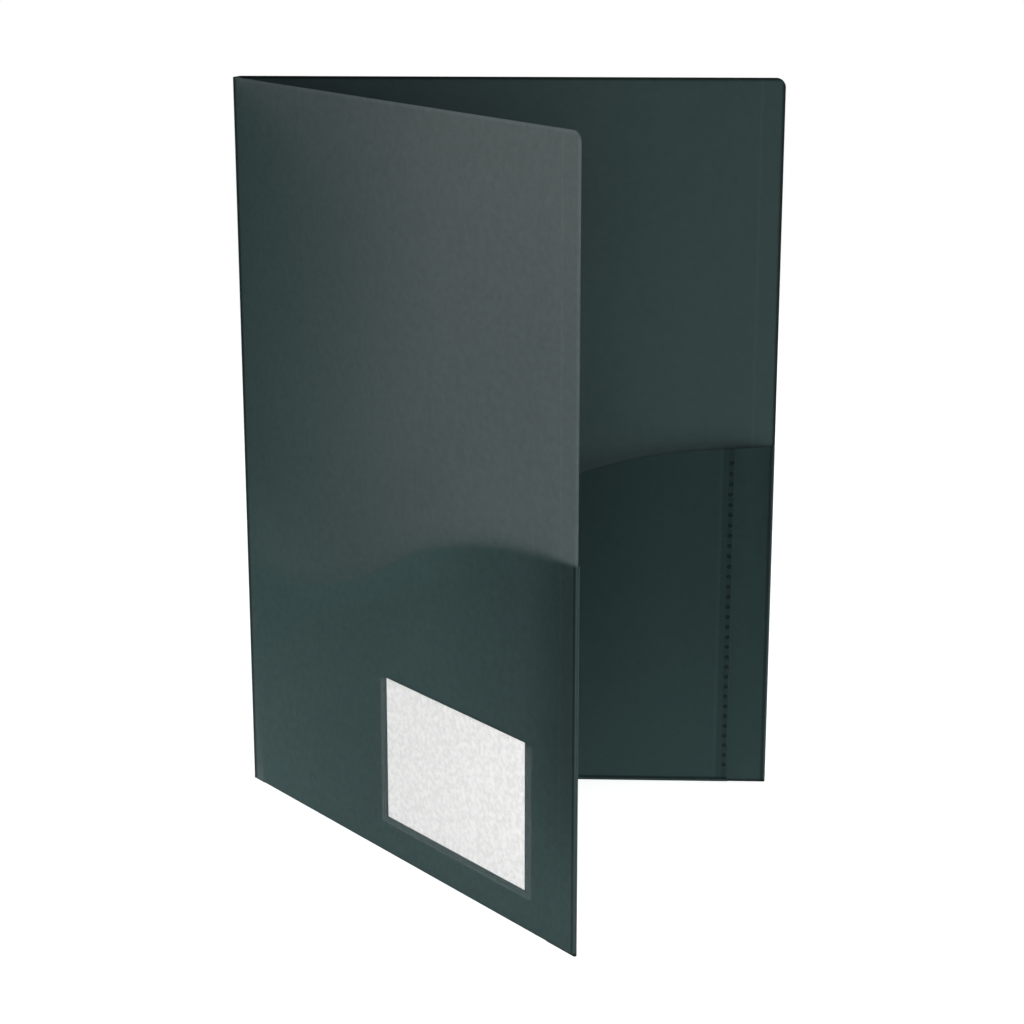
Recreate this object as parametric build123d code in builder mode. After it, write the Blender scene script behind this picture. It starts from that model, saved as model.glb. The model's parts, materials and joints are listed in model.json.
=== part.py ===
from build123d import *
import os
from math import cos, radians, sin, tan

# Two pocket folder of thin translucent plastic sheet, standing half open on its bottom edges.
# Each cover is folded up at the bottom into a pocket panel, and in at its free edge into a side
# flap that is spot welded to the back of that panel. A clear film pocket outside the front cover
# holds a card. Millimetres, +Z up, origin at the foot of the spine, back cover along +X.

# Sheet and covers
sheet = 0.5  # thickness of the plastic sheet
cover_width = 225.0  # crease to free edge
cover_height = 310.0  # standing edge to top edge
corner_radius = 4.0  # top corner at the free edge
opening_angle = 50.0  # between the covers, in degrees
crease_clearance = 0.05  # between a crease web and the panels beside it

# Pockets
pocket_gape = 1.5  # lean of the pocket panel away from its cover, in degrees
pocket_outer_height = 154.0  # top edge beside the side flap
pocket_inner_height = 100.0  # top edge beside the spine
pocket_spine_margin = 8.0  # crease to the panel's inner edge
pocket_edge_margin = 17.0  # panel's outer edge to the cover's free edge
pocket_fold_gap = 0.15  # between the bottom fold and the panel that swings on it
notch_clearance = 0.1  # between a cover's notches and the folds that sit in them
closing_gap = 1.3  # between the two pocket panels when the folder is shut

# Side flaps
flap_gap = 0.6  # clear space between the cover and the flap, at the side fold
flap_overlap = 5.0  # width that lies behind the pocket panel
flap_foot = 2.0  # lower end above the standing edge

# Weld seams
weld_diameter = 1.6
weld_height = 0.12  # how far a weld spot stands proud of the pocket panel
weld_pitch = 4.65
weld_edge_distance = 1.5  # row of spots to the panel's outer edge
weld_end_distance = 4.0  # first and last spots to the ends of the flap, at least

# Card and its film pocket
card_width = 90.5
card_height = 60.5
card_thickness = 0.3
card_face_clearance = 0.1  # on each face of the card
card_side_clearance = 1.25  # on each side of the card
card_seat_clearance = 0.2  # under the card
card_stand_out = 0.5  # top of the card above the film
film_thickness = 0.2
film_weld_width = 3.0
film_edge_margin = 25.7  # film to the cover's free edge
film_foot = 13.7  # film above the standing edge

# Worked out from the sizes above: distances between sheets are taken middle to middle
crease_radius = sheet / 2
crease_setback = crease_radius + crease_clearance
flap_spacing = flap_gap + sheet
flap_radius = flap_spacing / 2
flap_edge = cover_width - flap_radius - sheet / 2
flap_length = pocket_outer_height - flap_foot
pocket_spacing = flap_spacing + sheet
fold_radius = pocket_spacing / 2
fold_height = fold_radius + sheet / 2
pocket_edge = cover_width - pocket_edge_margin
pocket_width = pocket_edge - pocket_spine_margin
lean = radians(pocket_gape)
spine_width = 2 * pocket_spacing + sheet + closing_gap
weld_count = int((flap_length - 2 * weld_end_distance) / weld_pitch) + 1
film_width = card_width + 2 * (card_side_clearance + film_weld_width)
film_height = film_weld_width + card_seat_clearance + card_height - card_stand_out
film_middle = cover_width - film_edge_margin - film_width / 2
card_room = card_thickness + 2 * card_face_clearance

# On both cover planes local X runs from the crease to the free edge and local Y runs up
upward = Vector(0, 0, 1)
back_line = Vector(1, 0, 0)
front_line = back_line.rotate(Axis.Z, -opening_angle)
spine_line = back_line.rotate(Axis.Z, -90 - opening_angle / 2)
back_crease_foot = spine_line * (-spine_width / 2)
front_crease_foot = spine_line * (spine_width / 2)
back_plane = Plane(origin=back_crease_foot, x_dir=back_line, z_dir=back_line.cross(upward))
front_plane = Plane(origin=front_crease_foot, x_dir=front_line, z_dir=front_line.cross(upward))
spine_plane = Plane(origin=(0, 0, 0), x_dir=spine_line, z_dir=spine_line.cross(upward))
fold_plane = Plane(origin=(0, 0, 0), x_dir=upward, z_dir=spine_line)

os.makedirs("parts", exist_ok=True)


def back_point(along, inward, height):
    """A point given along the back cover from its crease, into the folder and up."""
    return back_plane.from_local_coords(Vector(along, height, inward))


def behind_panel(depth, height):
    """How far inside the cover a plane at some depth behind the leaning pocket panel lies."""
    offset = (fold_radius - sheet / 2 - depth) / cos(lean)
    return fold_radius + (height - fold_height) * tan(lean) + offset


def folded_strip(centre, axis, radius, length):
    """The sheet bent half round an axis, with its open side away from the edge that it forms."""
    with BuildPart() as strip:
        with BuildSketch(Plane(origin=centre, x_dir=(0, 1, 0), z_dir=axis)):
            Circle(radius + sheet / 2)
            Circle(radius - sheet / 2, mode=Mode.SUBTRACT)
            open_side = (Align.CENTER, Align.MIN)
            Rectangle(2 * radius + 2 * sheet, radius + sheet, align=open_side, mode=Mode.SUBTRACT)
        extrude(amount=length / 2, both=True)
    return strip


def flap_section(height):
    """The side flap cut level: from the side fold to the panel's edge, then flat behind the panel."""
    front = behind_panel(0, height)
    rear = behind_panel(sheet, height)
    tongue_edge = pocket_edge - flap_overlap
    level = Plane(origin=back_point(0, 0, height), x_dir=back_line, z_dir=-upward)
    with BuildSketch(level) as section:
        with BuildLine():
            Polyline(
                (flap_edge, flap_spacing - sheet / 2),
                (pocket_edge, rear),
                (tongue_edge, rear),
                (tongue_edge, front),
                (pocket_edge, front),
                (flap_edge, flap_spacing + sheet / 2),
                close=True,
            )
        make_face()
    return section.sketch


# Cover: one panel, notched where the bottom fold and the side fold leave it
with BuildPart() as cover:
    with BuildSketch(back_plane) as cover_face:
        with BuildLine():
            Polyline(
                (crease_setback, 0),
                (pocket_spine_margin - notch_clearance, 0),
                (pocket_spine_margin - notch_clearance, fold_height),
                (pocket_edge + notch_clearance, fold_height),
                (pocket_edge + notch_clearance, 0),
                (cover_width, 0),
                (cover_width, flap_foot - notch_clearance),
                (flap_edge, flap_foot - notch_clearance),
                (flap_edge, pocket_outer_height + notch_clearance),
                (cover_width, pocket_outer_height + notch_clearance),
                (cover_width, cover_height),
                (crease_setback, cover_height),
                close=True,
            )
        make_face()
        free_corner = cover_face.vertices().group_by(Axis.Y)[-1].sort_by(Axis.X)[-1]
        fillet(free_corner, radius=corner_radius)
    extrude(amount=sheet / 2, both=True)

# Folds: under the pocket panel, and up the free edge beside it
bottom_fold = folded_strip(
    centre=back_point(pocket_spine_margin + pocket_width / 2, fold_radius, fold_height),
    axis=back_line,
    radius=fold_radius,
    length=pocket_width,
)
side_fold = folded_strip(
    centre=back_point(flap_edge, flap_radius, flap_foot + flap_length / 2),
    axis=upward,
    radius=flap_radius,
    length=flap_length,
)

# Pocket panel: leans out from the axis of its bottom fold, with an S-shaped top edge
lean_plane = Plane(
    origin=back_point(0, fold_radius, fold_height),
    x_dir=back_line,
    z_dir=(0, -cos(lean), -sin(lean)),
)
with BuildPart() as pocket:
    with BuildSketch(lean_plane.offset(fold_radius)):
        with BuildLine():
            crest = Vector(pocket_edge, pocket_outer_height - fold_height)
            dip = Vector(pocket_spine_margin, pocket_inner_height - fold_height)
            swell = TangentArc(crest, (crest + dip) / 2, tangent=(-1, 0))
            hollow = TangentArc((crest + dip) / 2, dip, tangent=swell % 1)
            Polyline(dip, (dip.X, pocket_fold_gap), (crest.X, pocket_fold_gap), crest)
        make_face()
    extrude(amount=sheet / 2, both=True)

# Side flap: twists between the upright side fold and the leaning panel
with BuildPart() as side_flap:
    loft([flap_section(flap_foot), flap_section(pocket_outer_height)], ruled=True)

# Weld spots: one upright row on the panel, over the flap
with BuildPart() as weld_spots:
    with BuildSketch(lean_plane.offset(fold_radius + sheet / 2)):
        with Locations((pocket_edge - weld_edge_distance, flap_foot + flap_length / 2 - fold_height)):
            with GridLocations(weld_pitch, weld_pitch, 1, weld_count):
                Circle(weld_diameter / 2)
    extrude(amount=weld_height)

# Crease web: the rounded living hinge between a cover and the spine
with BuildPart() as crease:
    with BuildSketch(Plane(origin=back_crease_foot)):
        Circle(crease_radius)
    extrude(amount=cover_height)

# The front half of the folder mirrors the back half
half = {
    "cover": cover,
    "bottom_fold": bottom_fold,
    "side_fold": side_fold,
    "pocket": pocket,
    "side_flap": side_flap,
    "weld_spots": weld_spots,
    "crease": crease,
}
for name, piece in half.items():
    with BuildPart() as twin:
        mirror(piece.part, about=fold_plane)
    piece.part.label = f"back_{name}"
    export_step(piece.part, f"parts/back_{name}.step")
    twin.part.label = f"front_{name}"
    export_step(twin.part, f"parts/front_{name}.step")

# Spine strip between the two creases
with BuildPart() as spine:
    with BuildSketch(spine_plane):
        Rectangle(spine_width - 2 * crease_setback, cover_height, align=(Align.CENTER, Align.MIN))
    extrude(amount=sheet / 2, both=True)
spine.part.label = "spine"
export_step(spine.part, "parts/spine.step")

# Card pocket: a weld bead on three sides carries the film, and the card stands on its lower run
outer_face = front_plane.offset(sheet / 2)
standing = (Align.CENTER, Align.MIN)
with BuildPart() as card_pocket_weld:
    with BuildSketch(outer_face):
        with Locations((film_middle, film_foot)):
            Rectangle(film_width, film_height, align=standing)
        with Locations((film_middle, film_foot + film_weld_width)):
            inner_width = film_width - 2 * film_weld_width
            Rectangle(inner_width, film_height, align=standing, mode=Mode.SUBTRACT)
    extrude(amount=card_room)
card_pocket_weld.part.label = "card_pocket_weld"
export_step(card_pocket_weld.part, "parts/card_pocket_weld.step")

with BuildPart() as card_pocket_film:
    with BuildSketch(outer_face.offset(card_room)):
        with Locations((film_middle, film_foot)):
            Rectangle(film_width, film_height, align=standing)
    extrude(amount=film_thickness)
card_pocket_film.part.label = "card_pocket_film"
export_step(card_pocket_film.part, "parts/card_pocket_film.step")

with BuildPart() as card:
    with BuildSketch(outer_face.offset(card_face_clearance)):
        with Locations((film_middle, film_foot + film_weld_width + card_seat_clearance)):
            Rectangle(card_width, card_height, align=standing)
    extrude(amount=card_thickness)
card.part.label = "card"
export_step(card.part, "parts/card.step")
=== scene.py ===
import json
import math
from collections import namedtuple

import bmesh
import bpy
from bpy.props import FloatProperty, FloatVectorProperty, IntProperty, PointerProperty
from bpy.types import Operator, Panel, PropertyGroup
from mathutils import Matrix, Vector


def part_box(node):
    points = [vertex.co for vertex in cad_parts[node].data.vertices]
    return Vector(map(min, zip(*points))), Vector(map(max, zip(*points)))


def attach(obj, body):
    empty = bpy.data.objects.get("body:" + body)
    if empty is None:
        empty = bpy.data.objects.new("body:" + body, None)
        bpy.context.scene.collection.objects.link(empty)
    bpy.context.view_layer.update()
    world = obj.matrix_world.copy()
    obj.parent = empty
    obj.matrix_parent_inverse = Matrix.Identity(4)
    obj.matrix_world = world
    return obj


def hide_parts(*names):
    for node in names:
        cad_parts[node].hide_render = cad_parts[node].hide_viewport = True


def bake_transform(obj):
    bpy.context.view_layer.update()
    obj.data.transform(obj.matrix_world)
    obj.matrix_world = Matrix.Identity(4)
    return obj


bl_info = {
    "name": "Two Pocket Folder",
    "version": (1, 0, 0),
    "blender": (4, 5, 0),
    "location": "View3D > Sidebar > Folder",
    "description": "Dresses the packed folder with its sheet, folds, weld rows, film pocket, card and studio",
    "category": "Object",
}

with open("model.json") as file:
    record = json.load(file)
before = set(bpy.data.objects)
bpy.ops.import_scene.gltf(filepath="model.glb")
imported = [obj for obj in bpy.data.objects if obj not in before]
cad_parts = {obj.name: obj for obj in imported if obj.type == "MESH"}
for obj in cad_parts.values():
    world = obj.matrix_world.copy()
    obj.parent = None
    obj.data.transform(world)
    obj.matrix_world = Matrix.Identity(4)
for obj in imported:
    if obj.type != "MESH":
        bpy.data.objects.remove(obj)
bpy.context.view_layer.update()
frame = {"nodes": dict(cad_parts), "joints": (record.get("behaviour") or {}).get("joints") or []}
MM = 0.001
UP = Vector((0.0, 0.0, 1.0))

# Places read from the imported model

Half = namedtuple("Half", "name foot along inward")


def joint(name):
    """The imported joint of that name."""
    return next(j for j in frame["joints"] if j["name"] == name)


def half_of_folder(name, side):
    """One cover's frame: its crease foot, the way to its free edge, and the way into the folder."""
    foot = Vector(joint(f"{name}_crease_hinge")["pos_m"])
    foot.z = 0.0
    along = Vector(joint(f"{name}_pocket_hinge")["axis"]).normalized() * side
    inward = along.cross(UP) * side
    return Half(name, foot, along, inward)


BACK = half_of_folder("back", 1.0)
FRONT = half_of_folder("front", -1.0)
HALVES = (BACK, FRONT)

COVER_LOW, COVER_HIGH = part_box("back_cover")
PANEL_LOW, PANEL_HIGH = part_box("back_pocket")
FLAP_LOW, FLAP_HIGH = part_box("back_side_flap")
SHEET = COVER_HIGH.y - COVER_LOW.y
COVER_WIDTH = COVER_HIGH.x - BACK.foot.x
COVER_HEIGHT = COVER_HIGH.z
COVER_START = COVER_LOW.x - BACK.foot.x
PANEL_START = PANEL_LOW.x - BACK.foot.x
PANEL_END = PANEL_HIGH.x - BACK.foot.x
FLAP_FOOT = FLAP_LOW.z
FLAP_TOP = FLAP_HIGH.z
FLAP_EDGE = FLAP_HIGH.x - BACK.foot.x
TONGUE_EDGE = FLAP_LOW.x - BACK.foot.x
POCKET_HINGE = joint("back_pocket_hinge")
FOLD_AXIS = BACK.foot.y - POCKET_HINGE["pos_m"][1]
FOLD_HEIGHT = POCKET_HINGE["pos_m"][2]
LEAN = math.radians(-POCKET_HINGE["range_deg"][0])

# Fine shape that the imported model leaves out

CORNER_LIFT = 0.2 * MM
SMOOTH_BEND = math.radians(50)


def place(half, along, inward, height):
    """A point given along a cover from its crease, into the folder and up."""
    return half.foot + half.along * along + half.inward * inward + UP * height


def lean_point(half, along, rise, depth):
    """A point on the leaning pocket panel: along it, up it, and inward from the axis of its fold."""
    inward = FOLD_AXIS + rise * math.sin(LEAN) + depth * math.cos(LEAN)
    height = FOLD_HEIGHT + rise * math.cos(LEAN) - depth * math.sin(LEAN)
    return place(half, along, inward, height)


# Settings

class SheetSettings(PropertyGroup):
    """The folder's plastic sheet."""

    rounding: FloatProperty(
        name="Edge rounding", description="Radius worn on the cut edges of the sheet",
        default=0.08 * MM, min=0.0, unit="LENGTH")
    corner: FloatProperty(
        name="Corner radius", description="Radius of the covers' top corners at the free edge",
        default=4.0 * MM, min=0.0, unit="LENGTH")
    bead: FloatProperty(
        name="Crease radius", description="Radius of the rounded crease beside the spine",
        default=0.31 * MM, min=0.0, unit="LENGTH")
    colour: FloatVectorProperty(
        name="Sheet colour", description="Colour that the sheet itself sends back",
        default=(0.055, 0.108, 0.107), size=3, min=0.0, max=1.0, subtype="COLOR")
    through: FloatVectorProperty(
        name="Colour against the light", description="Colour of light that has passed one face of the sheet",
        default=(0.478, 0.488, 0.486), size=3, min=0.0, max=1.0, subtype="COLOR")
    passing: FloatProperty(
        name="Light passed", description="Share of the sheet's look that comes from light behind it",
        default=0.45, min=0.0, max=1.0, subtype="FACTOR")
    shine: FloatProperty(
        name="Shine", description="Strength of the satin reflection",
        default=0.09, min=0.0, max=1.0, subtype="FACTOR")
    roughness: FloatProperty(
        name="Roughness", description="Spread of the satin reflection",
        default=0.42, min=0.0, max=1.0, subtype="FACTOR")


class PocketSettings(PropertyGroup):
    """The pocket panels, their flaps and their weld rows."""

    dip: FloatProperty(
        name="Height beside the spine", description="Top edge of a pocket panel at its inner end",
        default=100.0 * MM, min=0.0, unit="LENGTH")
    fold_gap: FloatProperty(
        name="Gap over the fold", description="Clear space between the bottom fold and the panel",
        default=0.15 * MM, min=0.0, unit="LENGTH")
    spots: IntProperty(
        name="Weld spots", description="Number of weld spots in a row", default=31, min=1)
    pitch: FloatProperty(
        name="Weld pitch", description="Distance between weld spots",
        default=4.65 * MM, min=0.0, unit="LENGTH")
    spot: FloatProperty(
        name="Weld diameter", description="Diameter of a weld spot",
        default=1.6 * MM, min=0.0, unit="LENGTH")
    rim: FloatProperty(
        name="Weld rim", description="Height of the rim around a weld spot",
        default=0.12 * MM, min=0.0, unit="LENGTH")
    seam: FloatProperty(
        name="Weld row inset", description="Distance from the weld row to the panel's outer edge",
        default=1.5 * MM, min=0.0, unit="LENGTH")


class CardSettings(PropertyGroup):
    """The card and the film pocket outside the front cover."""

    weld: FloatProperty(
        name="Film weld", description="Width of the weld on three sides of the film",
        default=3.0 * MM, min=0.0, unit="LENGTH")
    film: FloatProperty(
        name="Film thickness", description="Thickness of the clear film",
        default=0.2 * MM, min=0.0, unit="LENGTH")
    room: FloatProperty(
        name="Film stand-off", description="Space for the card between film and cover",
        default=0.5 * MM, min=0.0, unit="LENGTH")
    paper: FloatVectorProperty(
        name="Card colour", description="Colour of the card stock",
        default=(0.97, 0.97, 0.963), size=3, min=0.0, max=1.0, subtype="COLOR")


class StudioSettings(PropertyGroup):
    """The camera, floor and soft lights."""

    camera: FloatVectorProperty(
        name="Camera", description="Place of the camera",
        default=(0.1503, -1.0082, 0.4144), size=3, subtype="TRANSLATION", unit="LENGTH")
    aim: FloatVectorProperty(
        name="Aim", description="Point that the camera looks at",
        default=(0.1153, -0.0479, 0.1379), size=3, subtype="TRANSLATION", unit="LENGTH")
    lens: FloatProperty(
        name="Lens", description="Focal length on a 36 mm sensor",
        default=85.4, min=1.0, unit="CAMERA")
    floor: FloatVectorProperty(
        name="Floor colour", description="Colour of the studio floor",
        default=(0.82, 0.82, 0.82), size=3, min=0.0, max=1.0, subtype="COLOR")
    lift: FloatProperty(
        name="Floor whiteness", description="Light that the camera sees on the floor besides the lit colour",
        default=0.92, min=0.0)
    glow: FloatProperty(
        name="Table glow", description="Light from the lit table round the folder",
        default=0.92, min=0.0)
    ambient: FloatProperty(
        name="Surround", description="Strength of the light from all round",
        default=0.0, min=0.0)
    right: FloatProperty(
        name="Right light", description="Power of the wide panel that shines between the covers",
        default=15.4, min=0.0, unit="POWER")
    left: FloatProperty(
        name="Left light", description="Power of the panel that lights the front cover",
        default=13.5, min=0.0, unit="POWER")
    front: FloatProperty(
        name="Front light", description="Power of the weak panel behind the camera",
        default=8.5, min=0.0, unit="POWER")


# Mesh making

def finished(bm, name, material, smooth_angle=None):
    """Turns a bmesh into an object at the origin, with its faces outwards."""
    bmesh.ops.recalc_face_normals(bm, faces=bm.faces)
    mesh = bpy.data.meshes.new(name)
    bm.to_mesh(mesh)
    bm.free()
    mesh.materials.append(material)
    if smooth_angle is not None:
        mesh.shade_smooth()
        mesh.set_sharp_from_angle(angle=smooth_angle)
    piece = bpy.data.objects.new(name, mesh)
    bpy.context.scene.collection.objects.link(piece)
    return piece


def inset_outline(outline, distances):
    """The outline moved inwards, each side by its own distance. It runs anticlockwise."""
    count = len(outline)
    moved = []
    for i in range(count):
        before = (outline[i] - outline[i - 1]).normalized()
        after = (outline[(i + 1) % count] - outline[i]).normalized()
        normal_before = Vector((-before.y, before.x))
        normal_after = Vector((-after.y, after.x))
        first = distances[i - 1]
        second = distances[i]
        turn = before.x * after.y - before.y * after.x
        if abs(turn) < 1e-4:
            moved.append(outline[i] + normal_after * second)
        else:
            slide = (first * normal_before.dot(normal_after) - second) / turn
            moved.append(outline[i] + normal_before * first + before * slide)
    return moved


def cut_sheet(name, material, outline, thickness, rounding, to_space, joined=()):
    """A closed flat sheet with rounded cut edges. The sides listed in joined meet a fold and stay square."""
    half = thickness / 2
    steps = 2
    profile = []
    for i in range(steps + 1):
        angle = math.pi / 2 * i / steps
        profile.append((rounding * (1 - math.sin(angle)), half - rounding * (1 - math.cos(angle))))
    profile += [(inset, -depth) for inset, depth in reversed(profile)]
    bm = bmesh.new()
    layer = bm.loops.layers.uv.new("sheet")
    flat = {}
    rings = []
    for inset, depth in profile:
        distances = [0.0 if i in joined else inset for i in range(len(outline))]
        ring = []
        for point in inset_outline(outline, distances):
            vert = bm.verts.new(to_space(point.x, point.y, depth))
            flat[vert] = point
            ring.append(vert)
        rings.append(ring)
    for lower, upper in zip(rings, rings[1:]):
        for i in range(len(lower)):
            j = (i + 1) % len(lower)
            bm.faces.new((lower[i], lower[j], upper[j], upper[i]))
    bm.faces.new(rings[0])
    bm.faces.new(rings[-1])
    for face in bm.faces:
        for loop in face.loops:
            loop[layer].uv = flat[loop.vert]
    return finished(bm, name, material)


def bent_sheet(name, material, middle, flat, thickness):
    """A closed sheet of even thickness over a grid of points on its middle surface."""
    rows = len(middle)
    columns = len(middle[0])
    bm = bmesh.new()
    layer = bm.loops.layers.uv.new("sheet")
    place_of = {}
    sides = []
    for sign in (0.5, -0.5):
        grid = []
        for r in range(rows):
            line = []
            for c in range(columns):
                across = middle[r][min(c + 1, columns - 1)] - middle[r][max(c - 1, 0)]
                upward = middle[min(r + 1, rows - 1)][c] - middle[max(r - 1, 0)][c]
                normal = across.cross(upward).normalized()
                vert = bm.verts.new(middle[r][c] + normal * thickness * sign)
                place_of[vert] = flat[r][c]
                line.append(vert)
            grid.append(line)
        sides.append(grid)
    for grid in sides:
        for r in range(rows - 1):
            for c in range(columns - 1):
                bm.faces.new((grid[r][c], grid[r][c + 1], grid[r + 1][c + 1], grid[r + 1][c]))
    rim = [(0, c) for c in range(columns)]
    rim += [(r, columns - 1) for r in range(1, rows)]
    rim += [(rows - 1, c) for c in range(columns - 2, -1, -1)]
    rim += [(r, 0) for r in range(rows - 2, 0, -1)]
    near, far = sides
    for i, (r, c) in enumerate(rim):
        s, d = rim[(i + 1) % len(rim)]
        bm.faces.new((near[r][c], near[s][d], far[s][d], far[r][c]))
    for face in bm.faces:
        for loop in face.loops:
            loop[layer].uv = place_of[loop.vert]
    return finished(bm, name, material, smooth_angle=SMOOTH_BEND)


def turned(name, material, profile, segments, to_space):
    """A closed solid turned from a profile of (radius, height) that starts and ends on the axis."""
    bm = bmesh.new()
    rings = []
    for radius, height in profile[1:-1]:
        ring = []
        for i in range(segments):
            angle = 2 * math.pi * i / segments
            ring.append(bm.verts.new(to_space(radius * math.cos(angle), radius * math.sin(angle), height)))
        rings.append(ring)
    for lower, upper in zip(rings, rings[1:]):
        for i in range(segments):
            j = (i + 1) % segments
            bm.faces.new((lower[i], lower[j], upper[j], upper[i]))
    for ring, height in ((rings[0], profile[0][1]), (rings[-1], profile[-1][1])):
        centre = bm.verts.new(to_space(0.0, 0.0, height))
        for i in range(segments):
            bm.faces.new((centre, ring[i], ring[(i + 1) % segments]))
    return finished(bm, name, material, smooth_angle=SMOOTH_BEND)


def arc(centre, radius, start, end, steps):
    """Points on an arc, with both ends, angles in degrees."""
    points = []
    for i in range(steps + 1):
        angle = math.radians(start + (end - start) * i / steps)
        points.append(Vector((centre[0] + radius * math.cos(angle), centre[1] + radius * math.sin(angle))))
    return points


def pocket_top(dip_height):
    """The panel's top edge as two tangent arcs, from its crest at the outer edge to its dip by the spine."""
    crest = Vector((PANEL_END, FLAP_TOP - FOLD_HEIGHT))
    dip = Vector((PANEL_START, dip_height - FOLD_HEIGHT))
    run = (crest.x - dip.x) / 2
    fall = (crest.y - dip.y) / 2
    radius = (run * run + fall * fall) / (2 * fall)
    sweep = math.degrees(math.asin(run / radius))
    steps = 20
    swell = arc((crest.x, crest.y - radius), radius, 90, 90 + sweep, steps)
    hollow = arc((dip.x, dip.y + radius), radius, 270 + sweep, 270, steps)
    return swell + hollow[1:]


# Materials

SHEET_IOR = 1.49
FILM_IOR = 1.45


def new_socket(tree, name, direction, kind):
    """One named socket on a node group."""
    return tree.interface.new_socket(name=name, in_out=direction, socket_type=kind)


def add_node(tree, kind, values=None, **settings):
    """A node with its settings, and with a plain value or another node's result in its sockets."""
    node = tree.nodes.new(kind)
    for key, value in settings.items():
        setattr(node, key, value)
    for key, value in (values or {}).items():
        if isinstance(value, bpy.types.NodeSocket):
            tree.links.new(value, node.inputs[key])
        else:
            node.inputs[key].default_value = value
    return node


def paint(colour, strength=1.0):
    """A plain colour for a socket, made weaker or stronger."""
    return (*[strength * c for c in colour], 1.0)


def mixed_colour(tree, factor, first, second, blend="MIX"):
    """The result socket of a mix of two colours."""
    values = {0: factor, 6: first, 7: second}
    return add_node(tree, "ShaderNodeMix", values, data_type="RGBA", blend_type=blend).outputs[2]


def calculated(tree, operation, *values):
    """The result socket of a sum on sockets or plain numbers."""
    return add_node(tree, "ShaderNodeMath", dict(enumerate(values)), operation=operation).outputs[0]


def mapped(tree, value, low, high, to_low=0.0, to_high=1.0, kind="SMOOTHSTEP"):
    """A value taken from one range to another, smoothly and within its ends."""
    values = dict(enumerate((value, low, high, to_low, to_high)))
    return add_node(tree, "ShaderNodeMapRange", values, interpolation_type=kind, clamp=True).outputs[0]


def product(tree, first, *others):
    """The result socket of values multiplied together."""
    for other in others:
        first = calculated(tree, "MULTIPLY", first, other)
    return first


def total(tree, first, *others):
    """The result socket of values added together."""
    for other in others:
        first = calculated(tree, "ADD", first, other)
    return first


def grain_group():
    """Satin grain of the rolled sheet: a fine height and a slow cloud, both about one half."""
    tree = bpy.data.node_groups.get("Satin grain")
    if tree:
        return tree
    tree = bpy.data.node_groups.new("Satin grain", "ShaderNodeTree")
    new_socket(tree, "Place", "INPUT", "NodeSocketVector")
    new_socket(tree, "Grain fineness", "INPUT", "NodeSocketFloat")
    new_socket(tree, "Cloud fineness", "INPUT", "NodeSocketFloat")
    new_socket(tree, "Height", "OUTPUT", "NodeSocketFloat")
    new_socket(tree, "Cloud", "OUTPUT", "NodeSocketFloat")
    given = tree.nodes.new("NodeGroupInput").outputs
    fine = add_node(tree, "ShaderNodeTexNoise", {
        "Vector": given["Place"], "Scale": given["Grain fineness"], "Detail": 3.0, "Roughness": 0.6})
    slow = add_node(tree, "ShaderNodeTexNoise", {
        "Vector": given["Place"], "Scale": given["Cloud fineness"], "Detail": 4.0, "Roughness": 0.65})
    add_node(tree, "NodeGroupOutput", {"Height": fine.outputs[0], "Cloud": slow.outputs[0]})
    return tree


def grained(tree, grain, cloud):
    """The height and cloud sockets of the satin grain, on an object's own coordinates."""
    where = tree.nodes.new("ShaderNodeTexCoord")
    values = {"Place": where.outputs["Object"], "Grain fineness": grain, "Cloud fineness": cloud}
    group = add_node(tree, "ShaderNodeGroup", values, node_tree=grain_group())
    return group.outputs["Height"], group.outputs["Cloud"]


def blank_material(name):
    """A material and its node tree, which is empty."""
    material = bpy.data.materials.new(name)
    material.use_nodes = True
    material.node_tree.nodes.clear()
    return material, material.node_tree


def sheet_place(tree):
    """The two sockets that say how far along its cover and how high a point of the sheet is."""
    place_map = add_node(tree, "ShaderNodeUVMap", uv_map="sheet")
    parts = add_node(tree, "ShaderNodeSeparateXYZ", {0: place_map.outputs["UV"]})
    return parts.outputs[0], parts.outputs[1]


def scored_line_shade(tree, along):
    """Painted shade of the line that is scored beside the side fold, as a tone."""
    start = mapped(tree, along, FLAP_EDGE - 1.8 * MM, FLAP_EDGE - 1.0 * MM, 1.0, 0.55)
    end = mapped(tree, along, FLAP_EDGE - 0.2 * MM, FLAP_EDGE + 0.1 * MM, 0.0, 0.45)
    return total(tree, start, end)


def panel_top(tree, along):
    """Height of the pocket panel's S-shaped top edge, as two half waves that meet in the middle."""
    low = bpy.context.scene.folder_pocket.dip
    across = mapped(tree, along, PANEL_START, PANEL_END, kind="LINEAR")
    late = calculated(tree, "MAXIMUM", calculated(tree, "SUBTRACT", across, 0.5), 0.0)
    hollow = product(tree, across, across)
    swell = product(tree, late, late)
    rise = calculated(tree, "MULTIPLY_ADD", swell, -2.0, hollow)
    return calculated(tree, "MULTIPLY_ADD", rise, 2.0 * (FLAP_TOP - low), low)


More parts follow.
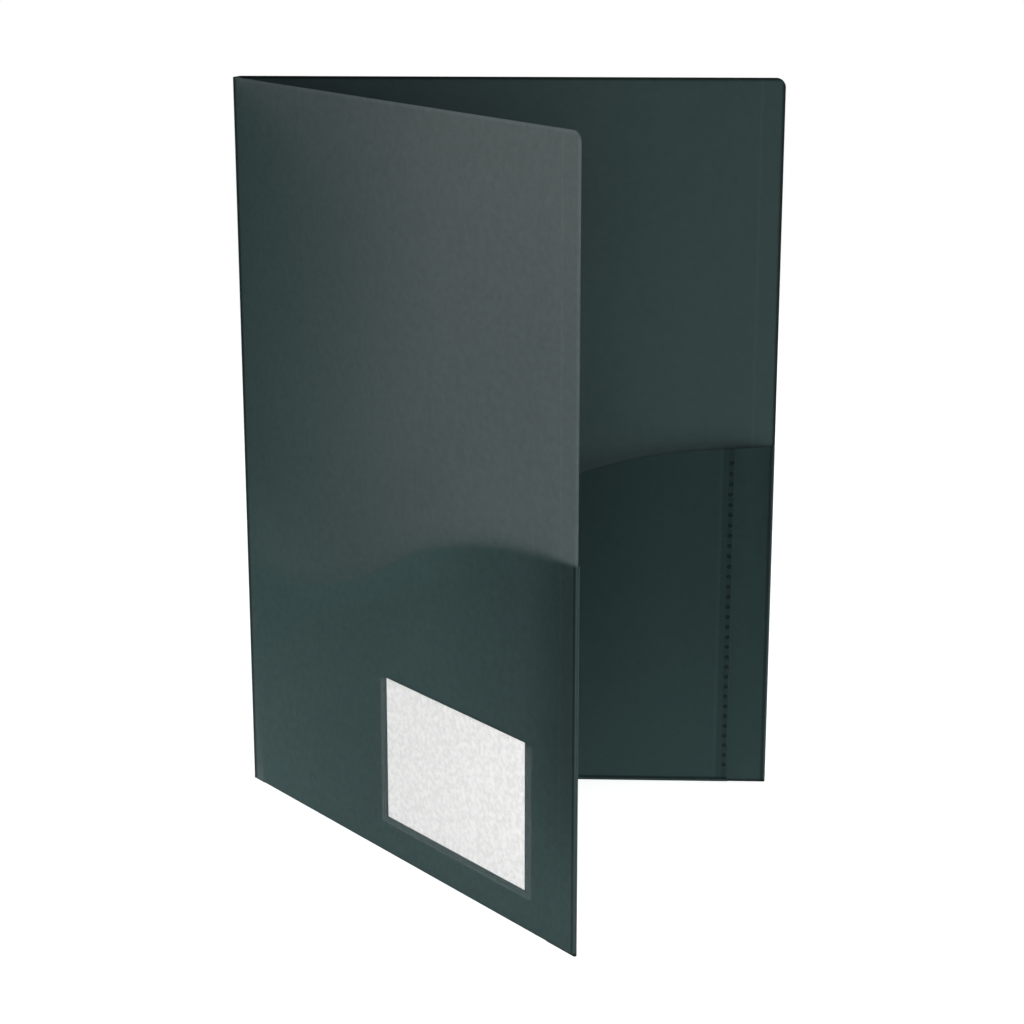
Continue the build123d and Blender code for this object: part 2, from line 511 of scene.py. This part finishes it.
def pocket_shade(tree, along, height):
    """Painted shade and painted light that the pocket behind a cover adds to the cover's tone."""
    above = calculated(tree, "SUBTRACT", height, panel_top(tree, along))
    # Painted shade: the panel darkens the cover towards the free edge, the flap more so, and both fade
    # towards the foot
    blur = mapped(tree, along, 0.5 * PANEL_END, FLAP_EDGE, 16 * MM, 1 * MM, kind="LINEAR")
    under = mapped(tree, above, product(tree, blur, -1.0), blur, 1.0, 0.0)
    panel = mapped(tree, along, 120 * MM, 200 * MM, 0.0, -0.21)
    flap = mapped(tree, along, 190 * MM, FLAP_EDGE - 2 * MM, 0.0, -0.3)
    fade = mapped(tree, height, 0.0, 90 * MM, 0.15, 1.0)
    dark = product(tree, total(tree, panel, flap), fade, under)
    # Painted light: light from the table shows through by the spine and along the foot
    spine = mapped(tree, along, 0.0, 100 * MM, 0.18, 0.02)
    low = mapped(tree, height, 100 * MM, 155 * MM, 1.0, 0.0)
    foot = mapped(tree, height, 0.0, 60 * MM, 0.08, 0.0)
    light = total(tree, product(tree, spine, low), foot)
    # The ghost of the panel's edge is softened by painted light and shade, which are left out close to the
    # spine
    below = mapped(tree, above, -20 * MM, -3 * MM, 0.0, 0.12)
    drop = mapped(tree, above, -3 * MM, 2 * MM, 0.0, -0.22)
    over = mapped(tree, above, 2 * MM, 75 * MM, 0.0, 0.10)
    outer = mapped(tree, along, 130 * MM, 180 * MM, 1.0, 0.25)
    inner = mapped(tree, along, 0.0, 85 * MM)
    ghost = product(tree, total(tree, below, drop, over), outer, inner)
    return total(tree, dark, light, ghost)


def edge_shade(tree, along, height, rim):
    """Tone of a cover's free edges and foot, painted shade in its crease, and the fine line that runs beside
    its free edge.
    """
    side = calculated(tree, "SUBTRACT", COVER_WIDTH, along)
    rest = calculated(tree, "SUBTRACT", COVER_HEIGHT, height)
    free = mapped(tree, calculated(tree, "MINIMUM", side, rest), 0.6 * MM, 1.7 * MM, rim, 1.0)
    foot = mapped(tree, height, 0.4 * MM, 1.4 * MM, 0.55, 1.0)
    # Painted shade in the crease beside the spine
    crease = mapped(tree, along, 1.0 * MM, 2.6 * MM, 0.45, 1.0)
    off_line = calculated(tree, "ABSOLUTE", calculated(tree, "SUBTRACT", side, 9.6 * MM))
    line = mapped(tree, off_line, 0.2 * MM, 0.9 * MM, 1.07, 1.0)
    return product(tree, free, foot, crease, line)


def cover_shade_and_light(tree, along, height, rim):
    """Tone of a cover: painted shade and light where its pocket backs it, its edges, and painted shade at the
    scored line.
    """
    backed = total(tree, pocket_shade(tree, along, height), 1.0)
    over_flap = mapped(tree, height, FLAP_TOP - 1 * MM, FLAP_TOP)
    score = calculated(tree, "MAXIMUM", scored_line_shade(tree, along), over_flap)
    return product(tree, backed, edge_shade(tree, along, height, rim), score)


def back_shade_and_light(tree):
    """Tone of the back cover, which has a dark rim and painted shade towards the spine."""
    along, height = sheet_place(tree)
    # Painted shade: darker towards the spine
    spine = mapped(tree, along, 0.0, 170 * MM, 0.7, 1.0)
    return product(tree, cover_shade_and_light(tree, along, height, rim=0.42), spine)


def front_shade_and_light(tree):
    """Tone of the front cover, which has a light rim and painted light towards its top corner."""
    along, height = sheet_place(tree)
    # Painted light: lighter towards the top corner at the free edge
    across = mapped(tree, along, 50 * MM, 200 * MM, 0.0, 0.13)
    upward = mapped(tree, height, 200 * MM, COVER_HEIGHT)
    corner = calculated(tree, "MULTIPLY_ADD", across, upward, 1.0)
    return product(tree, cover_shade_and_light(tree, along, height, rim=1.15), corner)


def pocket_shade_and_light(tree):
    """Tone of a pocket panel and its flap: painted shade over the flap's tongue behind the panel, and darker
    along the weld row.
    """
    along, height = sheet_place(tree)
    ridge = mapped(tree, along, TONGUE_EDGE - 2.0 * MM, TONGUE_EDGE - 0.6 * MM, 1.0, 1.1)
    # Painted shade where the flap's tongue lies behind the panel
    tongue = mapped(tree, along, TONGUE_EDGE - 0.6 * MM, TONGUE_EDGE + 0.4 * MM, 1.0, 0.8)
    row = mapped(tree, along, PANEL_END - 3.2 * MM, PANEL_END - 2.2 * MM, 1.0, 0.86)
    bare = mapped(tree, along, PANEL_END - 0.7 * MM, PANEL_END - 0.3 * MM)
    seam = calculated(tree, "MAXIMUM", product(tree, ridge, tongue, row), bare)
    foot = mapped(tree, height, 0.8 * MM, 1.9 * MM, 0.4, 1.0)
    return product(tree, seam, scored_line_shade(tree, along), foot)


def sheet_material(name, tone=None, strength=1.0, tint=(1.0, 1.0, 1.0), fleck=0.05):
    """Dark translucent satin sheet, whose tone carries painted shade and light over its folds, edges and
    backed places.
    """
    settings = bpy.context.scene.folder_sheet
    front = [strength * c for c in settings.colour]
    inner = [strength * c * t for c, t in zip(settings.through, tint)]
    material, tree = blank_material(name)
    height, cloud = grained(tree, grain=1500.0, cloud=330.0)
    colour = mixed_colour(tree, cloud, paint(front, 0.75), paint(front, 1.25))
    through = mixed_colour(tree, cloud, paint(inner, 1.0 - fleck), paint(inner, 1.0 + fleck))
    if tone:
        shade = tone(tree)
        colour = mixed_colour(tree, 1.0, colour, shade, blend="MULTIPLY")
        through = mixed_colour(tree, 1.0, through, shade, blend="MULTIPLY")
    spread = mapped(tree, height, 0.2, 0.8, settings.roughness - 0.04, settings.roughness + 0.06)
    bump = add_node(tree, "ShaderNodeBump", {"Strength": 0.5, "Distance": 0.06 * MM, "Height": height})
    base = add_node(tree, "ShaderNodeBsdfPrincipled", {
        "Base Color": colour, "Roughness": spread, "IOR": SHEET_IOR,
        "Specular IOR Level": settings.shine, "Normal": bump.outputs["Normal"]})
    behind = add_node(tree, "ShaderNodeBsdfTranslucent", {"Color": through})
    mix = add_node(tree, "ShaderNodeMixShader", {
        0: settings.passing, 1: base.outputs[0], 2: behind.outputs[0]})
    add_node(tree, "ShaderNodeOutputMaterial", {"Surface": mix.outputs[0]})
    return material


def weld_material(name):
    """Sheet that was melted smooth and darker at the weld."""
    sheet = bpy.context.scene.folder_sheet.colour
    material, tree = blank_material(name)
    height, cloud = grained(tree, grain=2600.0, cloud=600.0)
    melt = add_node(tree, "ShaderNodeBsdfPrincipled", {
        "Base Color": mixed_colour(tree, cloud, paint(sheet, 0.15), paint(sheet, 0.28)),
        "Roughness": mapped(tree, height, 0.2, 0.8, 0.34, 0.48),
        "IOR": SHEET_IOR, "Specular IOR Level": 0.05})
    add_node(tree, "ShaderNodeOutputMaterial", {"Surface": melt.outputs[0]})
    return material


def film_material(name, haze):
    """Clear glossy film: mostly see-through, with a little haze and a smooth reflection."""
    material, tree = blank_material(name)
    cloud = grained(tree, grain=900.0, cloud=60.0)[1]
    gloss = add_node(tree, "ShaderNodeBsdfPrincipled", {
        "Base Color": (0.8, 0.82, 0.82, 1.0),
        "Roughness": mapped(tree, cloud, 0.3, 0.7, 0.08, 0.16),
        "IOR": FILM_IOR})
    clear = tree.nodes.new("ShaderNodeBsdfTransparent")
    facing = add_node(tree, "ShaderNodeLayerWeight", {"Blend": 0.5})
    glancing = calculated(tree, "POWER", facing.outputs["Facing"], 4.0)
    share = calculated(tree, "MULTIPLY_ADD", glancing, 0.12, haze)
    mix = add_node(tree, "ShaderNodeMixShader", {0: share, 1: clear.outputs[0], 2: gloss.outputs[0]})
    add_node(tree, "ShaderNodeOutputMaterial", {"Surface": mix.outputs[0]})
    return material


def card_material(name):
    """Uncoated white card with soft fibres."""
    white = bpy.context.scene.folder_card.paper
    material, tree = blank_material(name)
    height, cloud = grained(tree, grain=900.0, cloud=480.0)
    fibres = mapped(tree, cloud, 0.4, 0.6, kind="LINEAR")
    bump = add_node(tree, "ShaderNodeBump", {"Strength": 0.3, "Distance": 0.05 * MM, "Height": height})
    paper = add_node(tree, "ShaderNodeBsdfPrincipled", {
        "Base Color": mixed_colour(tree, fibres, paint(white, 0.86), paint(white)),
        "Roughness": 0.85, "Specular IOR Level": 0.2, "Normal": bump.outputs["Normal"]})
    add_node(tree, "ShaderNodeOutputMaterial", {"Surface": paper.outputs[0]})
    return material


FINISHES = {
    # The covers and the pocket are one sheet: their tints and strengths are painted light and shade for how
    # each is lit
    "back_cover_satin": (sheet_material, {"tone": back_shade_and_light, "tint": (0.96, 1.12, 1.12)}),
    "front_cover_satin": (sheet_material, {"tone": front_shade_and_light, "tint": (1.06, 1.01, 1.005), "fleck": 0.16}),
    "pocket_sheet_satin": (sheet_material, {"tone": pocket_shade_and_light, "strength": 0.93}),
    "spine_satin": (sheet_material, {"strength": 0.8}),
    "weld_spot_melt": (weld_material, {}),
    "film_gloss": (film_material, {"haze": 0.004}),
    "film_weld_haze": (film_material, {"haze": 0.018}),
    "card_fibres": (card_material, {}),
}


def shared_material(name):
    """The folder's material of that name, made when it is first asked for."""
    material = bpy.data.materials.get(name)
    if material:
        return material
    make, values = FINISHES[name]
    return make(name, **values)


# Pieces

class FOLDER_OT_covers(Operator):
    """Make both cover panels, notched where their folds leave them"""

    bl_idname = "folder.covers"
    bl_label = "Covers"

    def execute(self, context):
        settings = context.scene.folder_sheet
        clear = 0.1 * MM
        radius = settings.corner
        # Counted round the outline, the sides that meet the bottom fold and the side flap
        fold_sides = (2, 5)
        outline = [
            (COVER_START, CORNER_LIFT),
            (PANEL_START - clear, CORNER_LIFT),
            (PANEL_START - clear, FOLD_HEIGHT),
            (PANEL_END + clear, FOLD_HEIGHT),
            (PANEL_END + clear, CORNER_LIFT),
            (FLAP_EDGE, CORNER_LIFT),
            (FLAP_EDGE, FLAP_TOP + clear),
            (COVER_WIDTH, FLAP_TOP + clear),
        ]
        outline = [Vector(p) for p in outline]
        outline += arc((COVER_WIDTH - radius, COVER_HEIGHT - radius), radius, 0, 90, steps=14)
        outline.append(Vector((COVER_START, COVER_HEIGHT)))
        for half in HALVES:
            material = shared_material(f"{half.name}_cover_satin")
            piece = cut_sheet(
                f"{half.name}_cover_sheet", material, outline, SHEET, settings.rounding,
                lambda u, v, depth: place(half, u, depth, v), joined=fold_sides)
            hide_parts(f"{half.name}_cover")
            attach(piece, f"{half.name}_cover")
        return {"FINISHED"}


class FOLDER_OT_spine(Operator):
    """Make the spine strip and the rounded creases beside it"""

    bl_idname = "folder.spine"
    bl_label = "Spine and creases"

    def execute(self, context):
        settings = context.scene.folder_sheet
        material = shared_material("spine_satin")
        across = (FRONT.foot - BACK.foot).normalized()
        outward = across.cross(UP)
        width = (FRONT.foot - BACK.foot).length - 2 * COVER_START
        outline = [Vector(p) for p in (
            (-width / 2, 0.0), (width / 2, 0.0), (width / 2, COVER_HEIGHT), (-width / 2, COVER_HEIGHT))]
        strip = cut_sheet(
            "spine_strip", material, outline, SHEET, settings.rounding,
            lambda u, v, depth: across * u + UP * v + outward * depth)
        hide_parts("spine")
        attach(strip, "spine")
        bead = settings.bead
        soft = 0.5 * bead
        profile = [
            (0.0, 0.0), (bead - soft, 0.0), (bead, soft),
            (bead, COVER_HEIGHT - soft), (bead - soft, COVER_HEIGHT), (0.0, COVER_HEIGHT)]
        for half in HALVES:
            crease = turned(
                f"{half.name}_crease_bead", material, profile, segments=20,
                to_space=lambda x, y, z: half.foot + Vector((x, y, z)))
            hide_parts(f"{half.name}_crease")
            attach(crease, "spine")
        return {"FINISHED"}


class FOLDER_OT_bottom_folds(Operator):
    """Make the folds under the pocket panels"""

    bl_idname = "folder.bottom_folds"
    bl_label = "Bottom folds"

    def execute(self, context):
        steps = 24
        spans = 24
        squareness = 0.62
        lap = 0.35 * MM
        width = PANEL_END - PANEL_START + 2 * lap
        along = [PANEL_START - lap + width * k / spans for k in range(spans + 1)]
        for half in HALVES:
            middle = []
            flat = []
            for i in range(steps + 1):
                angle = math.pi * i / steps
                across = math.copysign(abs(math.cos(angle)) ** squareness, math.cos(angle))
                inward = FOLD_AXIS * (1 - across)
                height = FOLD_HEIGHT - FOLD_AXIS * math.sin(angle) ** squareness
                middle.append([place(half, a, inward, height) for a in along])
                flat.append([(a, height) for a in along])
            material = shared_material(f"{half.name}_cover_satin")
            fold = bent_sheet(f"{half.name}_bottom_fold_strip", material, middle, flat, SHEET)
            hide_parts(f"{half.name}_bottom_fold")
            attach(fold, f"{half.name}_cover")
        return {"FINISHED"}


class FOLDER_OT_pockets(Operator):
    """Make the pocket panels with their S-shaped top edge"""

    bl_idname = "folder.pockets"
    bl_label = "Pocket panels"

    def execute(self, context):
        settings = context.scene.folder_pocket
        rounding = context.scene.folder_sheet.rounding
        outline = [Vector((PANEL_START, settings.fold_gap)), Vector((PANEL_END, settings.fold_gap))]
        outline += pocket_top(settings.dip)
        material = shared_material("pocket_sheet_satin")
        for half in HALVES:
            panel = cut_sheet(
                f"{half.name}_pocket_sheet", material, outline, SHEET, rounding,
                lambda u, v, depth: lean_point(half, u, v, FOLD_AXIS + depth))
            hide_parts(f"{half.name}_pocket")
            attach(panel, f"{half.name}_pocket")
        return {"FINISHED"}


class FOLDER_OT_side_flaps(Operator):
    """Make the side flaps with the fold at the free edge that carries them"""

    bl_idname = "folder.side_flaps"
    bl_label = "Side flaps"

    def execute(self, context):
        material = shared_material("pocket_sheet_satin")
        radius = (COVER_WIDTH - FLAP_EDGE) - SHEET / 2
        rows = 30
        bend_steps = 12
        web_steps = 16
        tongue_steps = 3
        # Shares of the way from the side fold to the panel, with a close step before the panel's edge
        shares = [i / web_steps for i in range(1, web_steps)] + [0.98, 1.0]
        behind = 0.03 * MM
        panel_side = PANEL_END + 0.1 * MM
        for half in HALVES:
            middle = []
            flat = []
            for r in range(rows + 1):
                line = []
                for i in range(bend_steps + 1):
                    angle = math.pi * i / bend_steps
                    line.append((FLAP_EDGE + radius * math.sin(angle), radius * (1 - math.cos(angle)), 0.0))
                for t in shares:
                    line.append((FLAP_EDGE + (PANEL_END - FLAP_EDGE) * t, 2 * radius, t * t * (3 - 2 * t)))
                for i in range(1, tongue_steps + 1):
                    tuck = (TONGUE_EDGE - PANEL_END) * i / tongue_steps
                    line.append((PANEL_END + tuck, 2 * radius, 1.0))
                points = []
                for along, fold_side, share in line:
                    foot = CORNER_LIFT if along > panel_side else FLAP_FOOT
                    height = foot + (FLAP_TOP - foot) * r / rows
                    tongue = FOLD_AXIS + (height - FOLD_HEIGHT) * math.tan(LEAN)
                    tongue += (FOLD_AXIS - SHEET - behind) / math.cos(LEAN)
                    points.append((along, fold_side + (tongue - fold_side) * share, height))
                middle.append([place(half, *point) for point in points])
                flat.append([(along, height) for along, inward, height in points])
            flap = bent_sheet(f"{half.name}_side_flap_sheet", material, middle, flat, SHEET)
            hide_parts(f"{half.name}_side_flap", f"{half.name}_side_fold")
            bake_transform(flap)
        return {"FINISHED"}


def weld_row_tree():
    """Geometry nodes that set one weld spot after another up a straight row."""
    tree = bpy.data.node_groups.new("Weld row", "GeometryNodeTree")
    kinds = {
        "Spot": "NodeSocketObject",
        "Count": "NodeSocketInt",
        "Start": "NodeSocketVector",
        "Step": "NodeSocketVector",
        "Turn": "NodeSocketVector",
        "Material": "NodeSocketMaterial",
    }
    keys = {name: new_socket(tree, name, "INPUT", kind).identifier for name, kind in kinds.items()}
    new_socket(tree, "Geometry", "OUTPUT", "NodeSocketGeometry")
    given = tree.nodes.new("NodeGroupInput").outputs
    row = add_node(tree, "GeometryNodeMeshLine", {
        "Count": given["Count"], "Start Location": given["Start"], "Offset": given["Step"]}, mode="OFFSET")
    spot = add_node(tree, "GeometryNodeObjectInfo", {"Object": given["Spot"]})
    turn = add_node(tree, "FunctionNodeEulerToRotation", {0: given["Turn"]})
    copies = add_node(tree, "GeometryNodeInstanceOnPoints", {
        "Points": row.outputs["Mesh"], "Instance": spot.outputs["Geometry"], "Rotation": turn.outputs[0]})
    real = add_node(tree, "GeometryNodeRealizeInstances", {0: copies.outputs[0]})
    coat = add_node(tree, "GeometryNodeSetMaterial", {
        "Geometry": real.outputs[0], "Material": given["Material"]})
    add_node(tree, "NodeGroupOutput", {0: coat.outputs[0]})
    return tree, keys


class FOLDER_OT_weld_rows(Operator):
    """Make the rows of weld spots that hold each flap behind its pocket panel"""

    bl_idname = "folder.weld_rows"
    bl_label = "Weld rows"

    def execute(self, context):
        settings = context.scene.folder_pocket
        material = shared_material("weld_spot_melt")
        radius = settings.spot / 2
        skirt = 1.3 * radius
        sunk = -0.1 * MM
        rim = settings.rim
        profile = [
            (0.0, sunk), (skirt, sunk), (skirt, 0.1 * rim), (radius, 0.7 * rim), (0.76 * radius, rim),
            (0.6 * radius, 0.85 * rim), (0.42 * radius, 0.35 * rim), (0.0, 0.15 * rim)]
        tree, keys = weld_row_tree()
        for half in HALVES:
            spot = turned(
                "weld_spot_pattern", material, profile, segments=14,
                to_space=lambda x, y, z: Vector((x, y, z)))
            outward = lean_point(half, 0.0, 0.0, 1.0) - lean_point(half, 0.0, 0.0, 0.0)
            rise = lean_point(half, 0.0, 1.0, 0.0) - lean_point(half, 0.0, 0.0, 0.0)
            middle = (FLAP_FOOT + FLAP_TOP) / 2 - FOLD_HEIGHT
            first = middle - settings.pitch * (settings.spots - 1) / 2
            start = lean_point(half, PANEL_END - settings.seam, first, FOLD_AXIS + SHEET / 2)
            turn = Matrix((rise.cross(outward), rise, outward)).transposed().to_euler()
            holder = bpy.data.objects.new("weld_row_maker", bpy.data.meshes.new("weld_row_maker"))
            context.scene.collection.objects.link(holder)
            modifier = holder.modifiers.new("Weld row", "NODES")
            modifier.node_group = tree
            modifier[keys["Spot"]] = spot
            modifier[keys["Count"]] = settings.spots
            modifier[keys["Start"]] = start
            modifier[keys["Step"]] = rise * settings.pitch
            modifier[keys["Turn"]] = turn
            modifier[keys["Material"]] = material
            context.view_layer.update()
            ready = holder.evaluated_get(context.evaluated_depsgraph_get())
            mesh = bpy.data.meshes.new_from_object(ready)
            holder.modifiers.remove(modifier)
            bpy.data.objects.remove(holder)
            bpy.data.objects.remove(spot)
            row = bpy.data.objects.new(f"{half.name}_weld_row", mesh)
            context.scene.collection.objects.link(row)
            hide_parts(f"{half.name}_weld_spots")
            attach(row, f"{half.name}_pocket")
        return {"FINISHED"}


def front_place(u, v, out):
    """A point outside the front cover: along it, up it and out from its outer face."""
    return place(FRONT, u, -SHEET / 2 - out, v)


def front_span(node):
    """How far a node reaches along the front cover, and up."""
    verts = [v.co for v in frame["nodes"][node].data.vertices]
    along = [(co - FRONT.foot).dot(FRONT.along) for co in verts]
    height = [co.z for co in verts]
    return min(along), max(along), min(height), max(height)


class FOLDER_OT_card_pocket(Operator):
    """Make the clear film outside the front cover and the weld on three of its sides"""

    bl_idname = "folder.card_pocket"
    bl_label = "Card pocket"

    def execute(self, context):
        settings = context.scene.folder_card
        left, right, low, high = front_span("card_pocket_film")
        radius = 1.2 * MM
        film_rounding = 0.05 * MM
        weld_rounding = 0.12 * MM
        sunk = 0.04 * MM
        lower = arc((left + radius, low + radius), radius, 180, 270, steps=6)
        lower += arc((right - radius, low + radius), radius, 270, 360, steps=6)
        outline = lower + [Vector((right, high)), Vector((left, high))]
        middle = settings.room + settings.film / 2
        film = cut_sheet(
            "card_film", shared_material("film_gloss"), outline, settings.film, film_rounding,
            lambda u, v, depth: front_place(u, v, middle + depth))
        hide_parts("card_pocket_film")
        width = settings.weld
        inner = ((right, high), (right - width, high), (right - width, low + width),
                 (left + width, low + width), (left + width, high), (left, high))
        outline = lower + [Vector(p) for p in inner]
        weld = cut_sheet(
            "card_film_weld", shared_material("film_weld_haze"), outline, settings.room + 2 * sunk,
            weld_rounding, lambda u, v, depth: front_place(u, v, settings.room / 2 + depth))
        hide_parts("card_pocket_weld")
        for piece in (film, weld):
            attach(piece, "front_cover")
        return {"FINISHED"}


class FOLDER_OT_card(Operator):
    """Make the blank card in the film pocket"""

    bl_idname = "folder.card"
    bl_label = "Card"

    def execute(self, context):
        settings = context.scene.folder_card
        left, right, low, high = front_span("card")
        thickness = 0.3 * MM
        worn = 0.05 * MM
        outline = [Vector(p) for p in ((left, low), (right, low), (right, high), (left, high))]
        card = cut_sheet(
            "card_blank", shared_material("card_fibres"), outline, thickness, worn,
            lambda u, v, depth: front_place(u, v, settings.room / 2 + depth))
        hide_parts("card")
        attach(card, "card")
        return {"FINISHED"}


# Studio

def soft_panel(name, aim, power, turn, rise, distance, size):
    """An area light that faces a point, from a direction given in degrees round from +X and up."""
    turn = math.radians(turn)
    rise = math.radians(rise)
    away = Vector((math.cos(turn) * math.cos(rise), math.sin(turn) * math.cos(rise), math.sin(rise)))
    light = bpy.data.lights.new(name, "AREA")
    light.shape = "RECTANGLE"
    light.size = size[0]
    light.size_y = size[1]
    light.energy = power
    panel = bpy.data.objects.new(name, light)
    panel.location = aim + away * distance
    panel.rotation_euler = (-away).to_track_quat("-Z", "Y").to_euler()
    panel.visible_camera = False
    bpy.context.scene.collection.objects.link(panel)


def glow_pool(tree, where, centre, reach, strength):
    """A soft oval of light on the floor, with its middle and its half width and depth in metres."""
    scale = [1.0 / r for r in reach]
    shift = [-c * k for c, k in zip(centre, scale)]
    oval = add_node(tree, "ShaderNodeMapping", {
        "Vector": where, "Location": (*shift, 0.0), "Scale": (*scale, 1.0)})
    away = add_node(tree, "ShaderNodeVectorMath", {0: oval.outputs["Vector"]}, operation="LENGTH")
    return mapped(tree, away.outputs["Value"], 0.7, 1.3, strength, 0.0)


def floor_material():
    """Pale matt table with a pool of light round the folder and one before it, faded into the surround."""
    settings = bpy.context.scene.folder_studio
    material, tree = blank_material("floor_pale")
    where = tree.nodes.new("ShaderNodeTexCoord").outputs["Object"]
    near = glow_pool(tree, where, (0.0, -0.06), (0.40, 0.18), settings.glow)
    front = glow_pool(tree, where, (-0.15, -0.45), (0.30, 0.25), 1.85 * settings.glow)
    ray = tree.nodes.new("ShaderNodeLightPath")
    seen = add_node(tree, "ShaderNodeMix", {
        0: ray.outputs["Is Camera Ray"], 2: total(tree, near, front), 3: settings.lift})
    light = add_node(tree, "ShaderNodeEmission", {"Strength": seen.outputs[0]})
    pale = add_node(tree, "ShaderNodeBsdfDiffuse", {"Color": paint(settings.floor)})
    both = add_node(tree, "ShaderNodeAddShader", {0: pale.outputs[0], 1: light.outputs[0]})
    clear = tree.nodes.new("ShaderNodeBsdfTransparent")
    reach = add_node(tree, "ShaderNodeVectorMath", {0: where}, operation="LENGTH")
    far = mapped(tree, reach.outputs["Value"], 0.7, 1.4)
    fade = add_node(tree, "ShaderNodeMixShader", {0: far, 1: both.outputs[0], 2: clear.outputs[0]})
    add_node(tree, "ShaderNodeOutputMaterial", {"Surface": fade.outputs[0]})
    return material


def surround():
    """A background that is white to the camera and lights the scene only by the surround's strength."""
    world = bpy.data.worlds.new("studio")
    world.use_nodes = True
    tree = world.node_tree
    tree.nodes.clear()
    white = (1.0, 1.0, 1.0, 1.0)
    ambient = bpy.context.scene.folder_studio.ambient
    cast = add_node(tree, "ShaderNodeBackground", {"Color": white, "Strength": ambient})
    seen = add_node(tree, "ShaderNodeBackground", {"Color": white, "Strength": 1.0})
    ray = tree.nodes.new("ShaderNodeLightPath")
    mix = add_node(tree, "ShaderNodeMixShader", {
        0: ray.outputs["Is Camera Ray"], 1: cast.outputs[0], 2: seen.outputs[0]})
    add_node(tree, "ShaderNodeOutputWorld", {"Surface": mix.outputs[0]})
    return world


class FOLDER_OT_studio(Operator):
    """Make the pale floor, the soft lights, the surround and the camera"""

    bl_idname = "folder.studio"
    bl_label = "Studio"

    def execute(self, context):
        settings = context.scene.folder_studio
        scene = context.scene
        scene.view_settings.view_transform = "Standard"
        scene.world = surround()
        middle = Vector((0.1, -0.06, 0.15))
        floor_radius = 2.4
        floor_drop = 0.2 * MM
        bm = bmesh.new()
        bmesh.ops.create_circle(bm, cap_ends=True, segments=96, radius=floor_radius)
        mesh = bpy.data.meshes.new("floor")
        bm.to_mesh(mesh)
        bm.free()
        mesh.materials.append(floor_material())
        floor = bpy.data.objects.new("floor", mesh)
        floor.location = (middle.x, 0.0, -floor_drop)
        scene.collection.objects.link(floor)
        soft_panel("right_light", middle, settings.right, turn=20, rise=10, distance=1.4, size=(0.9, 0.85))
        soft_panel("left_light", middle, settings.left, turn=180, rise=21, distance=2.2, size=(0.8, 1.8))
        soft_panel("front_light", middle, settings.front, turn=270, rise=10, distance=2.2, size=(0.8, 0.8))
        lens = bpy.data.cameras.new("camera")
        lens.lens = settings.lens
        lens.sensor_width = 36.0
        camera = bpy.data.objects.new("camera", lens)
        camera.location = settings.camera
        look = Vector(settings.aim) - Vector(settings.camera)
        camera.rotation_euler = look.to_track_quat("-Z", "Y").to_euler()
        scene.collection.objects.link(camera)
        scene.camera = camera
        return {"FINISHED"}


# Add-on

SETTINGS = {
    "folder_sheet": SheetSettings,
    "folder_pocket": PocketSettings,
    "folder_card": CardSettings,
    "folder_studio": StudioSettings,
}
PIECES = (
    FOLDER_OT_covers,
    FOLDER_OT_spine,
    FOLDER_OT_bottom_folds,
    FOLDER_OT_pockets,
    FOLDER_OT_side_flaps,
    FOLDER_OT_weld_rows,
    FOLDER_OT_card_pocket,
    FOLDER_OT_card,
    FOLDER_OT_studio,
)


class FOLDER_PT_pieces(Panel):
    """Lists the folder's pieces and its studio"""

    bl_label = "Two Pocket Folder"
    bl_idname = "FOLDER_PT_pieces"
    bl_space_type = "VIEW_3D"
    bl_region_type = "UI"
    bl_category = "Folder"

    def draw(self, context):
        column = self.layout.column(align=True)
        for piece in PIECES:
            column.operator(piece.bl_idname)
        for owner in SETTINGS:
            settings = getattr(context.scene, owner)
            box = self.layout.box()
            for key in settings.__annotations__:
                box.prop(settings, key)


CLASSES = (*SETTINGS.values(), *PIECES, FOLDER_PT_pieces)


def register():
    """Registers the classes and hangs the settings on the scene."""
    for item in CLASSES:
        bpy.utils.register_class(item)
    for name, kind in SETTINGS.items():
        setattr(bpy.types.Scene, name, PointerProperty(type=kind))


def unregister():
    """Takes the settings and classes away again."""
    for name in SETTINGS:
        delattr(bpy.types.Scene, name)
    for item in reversed(CLASSES):
        bpy.utils.unregister_class(item)


def main():
    """Makes every piece in order."""
    register()
    for piece in PIECES:
        group, name = piece.bl_idname.split(".")
        getattr(getattr(bpy.ops, group), name)()


if __name__ == "__main__":
    main()
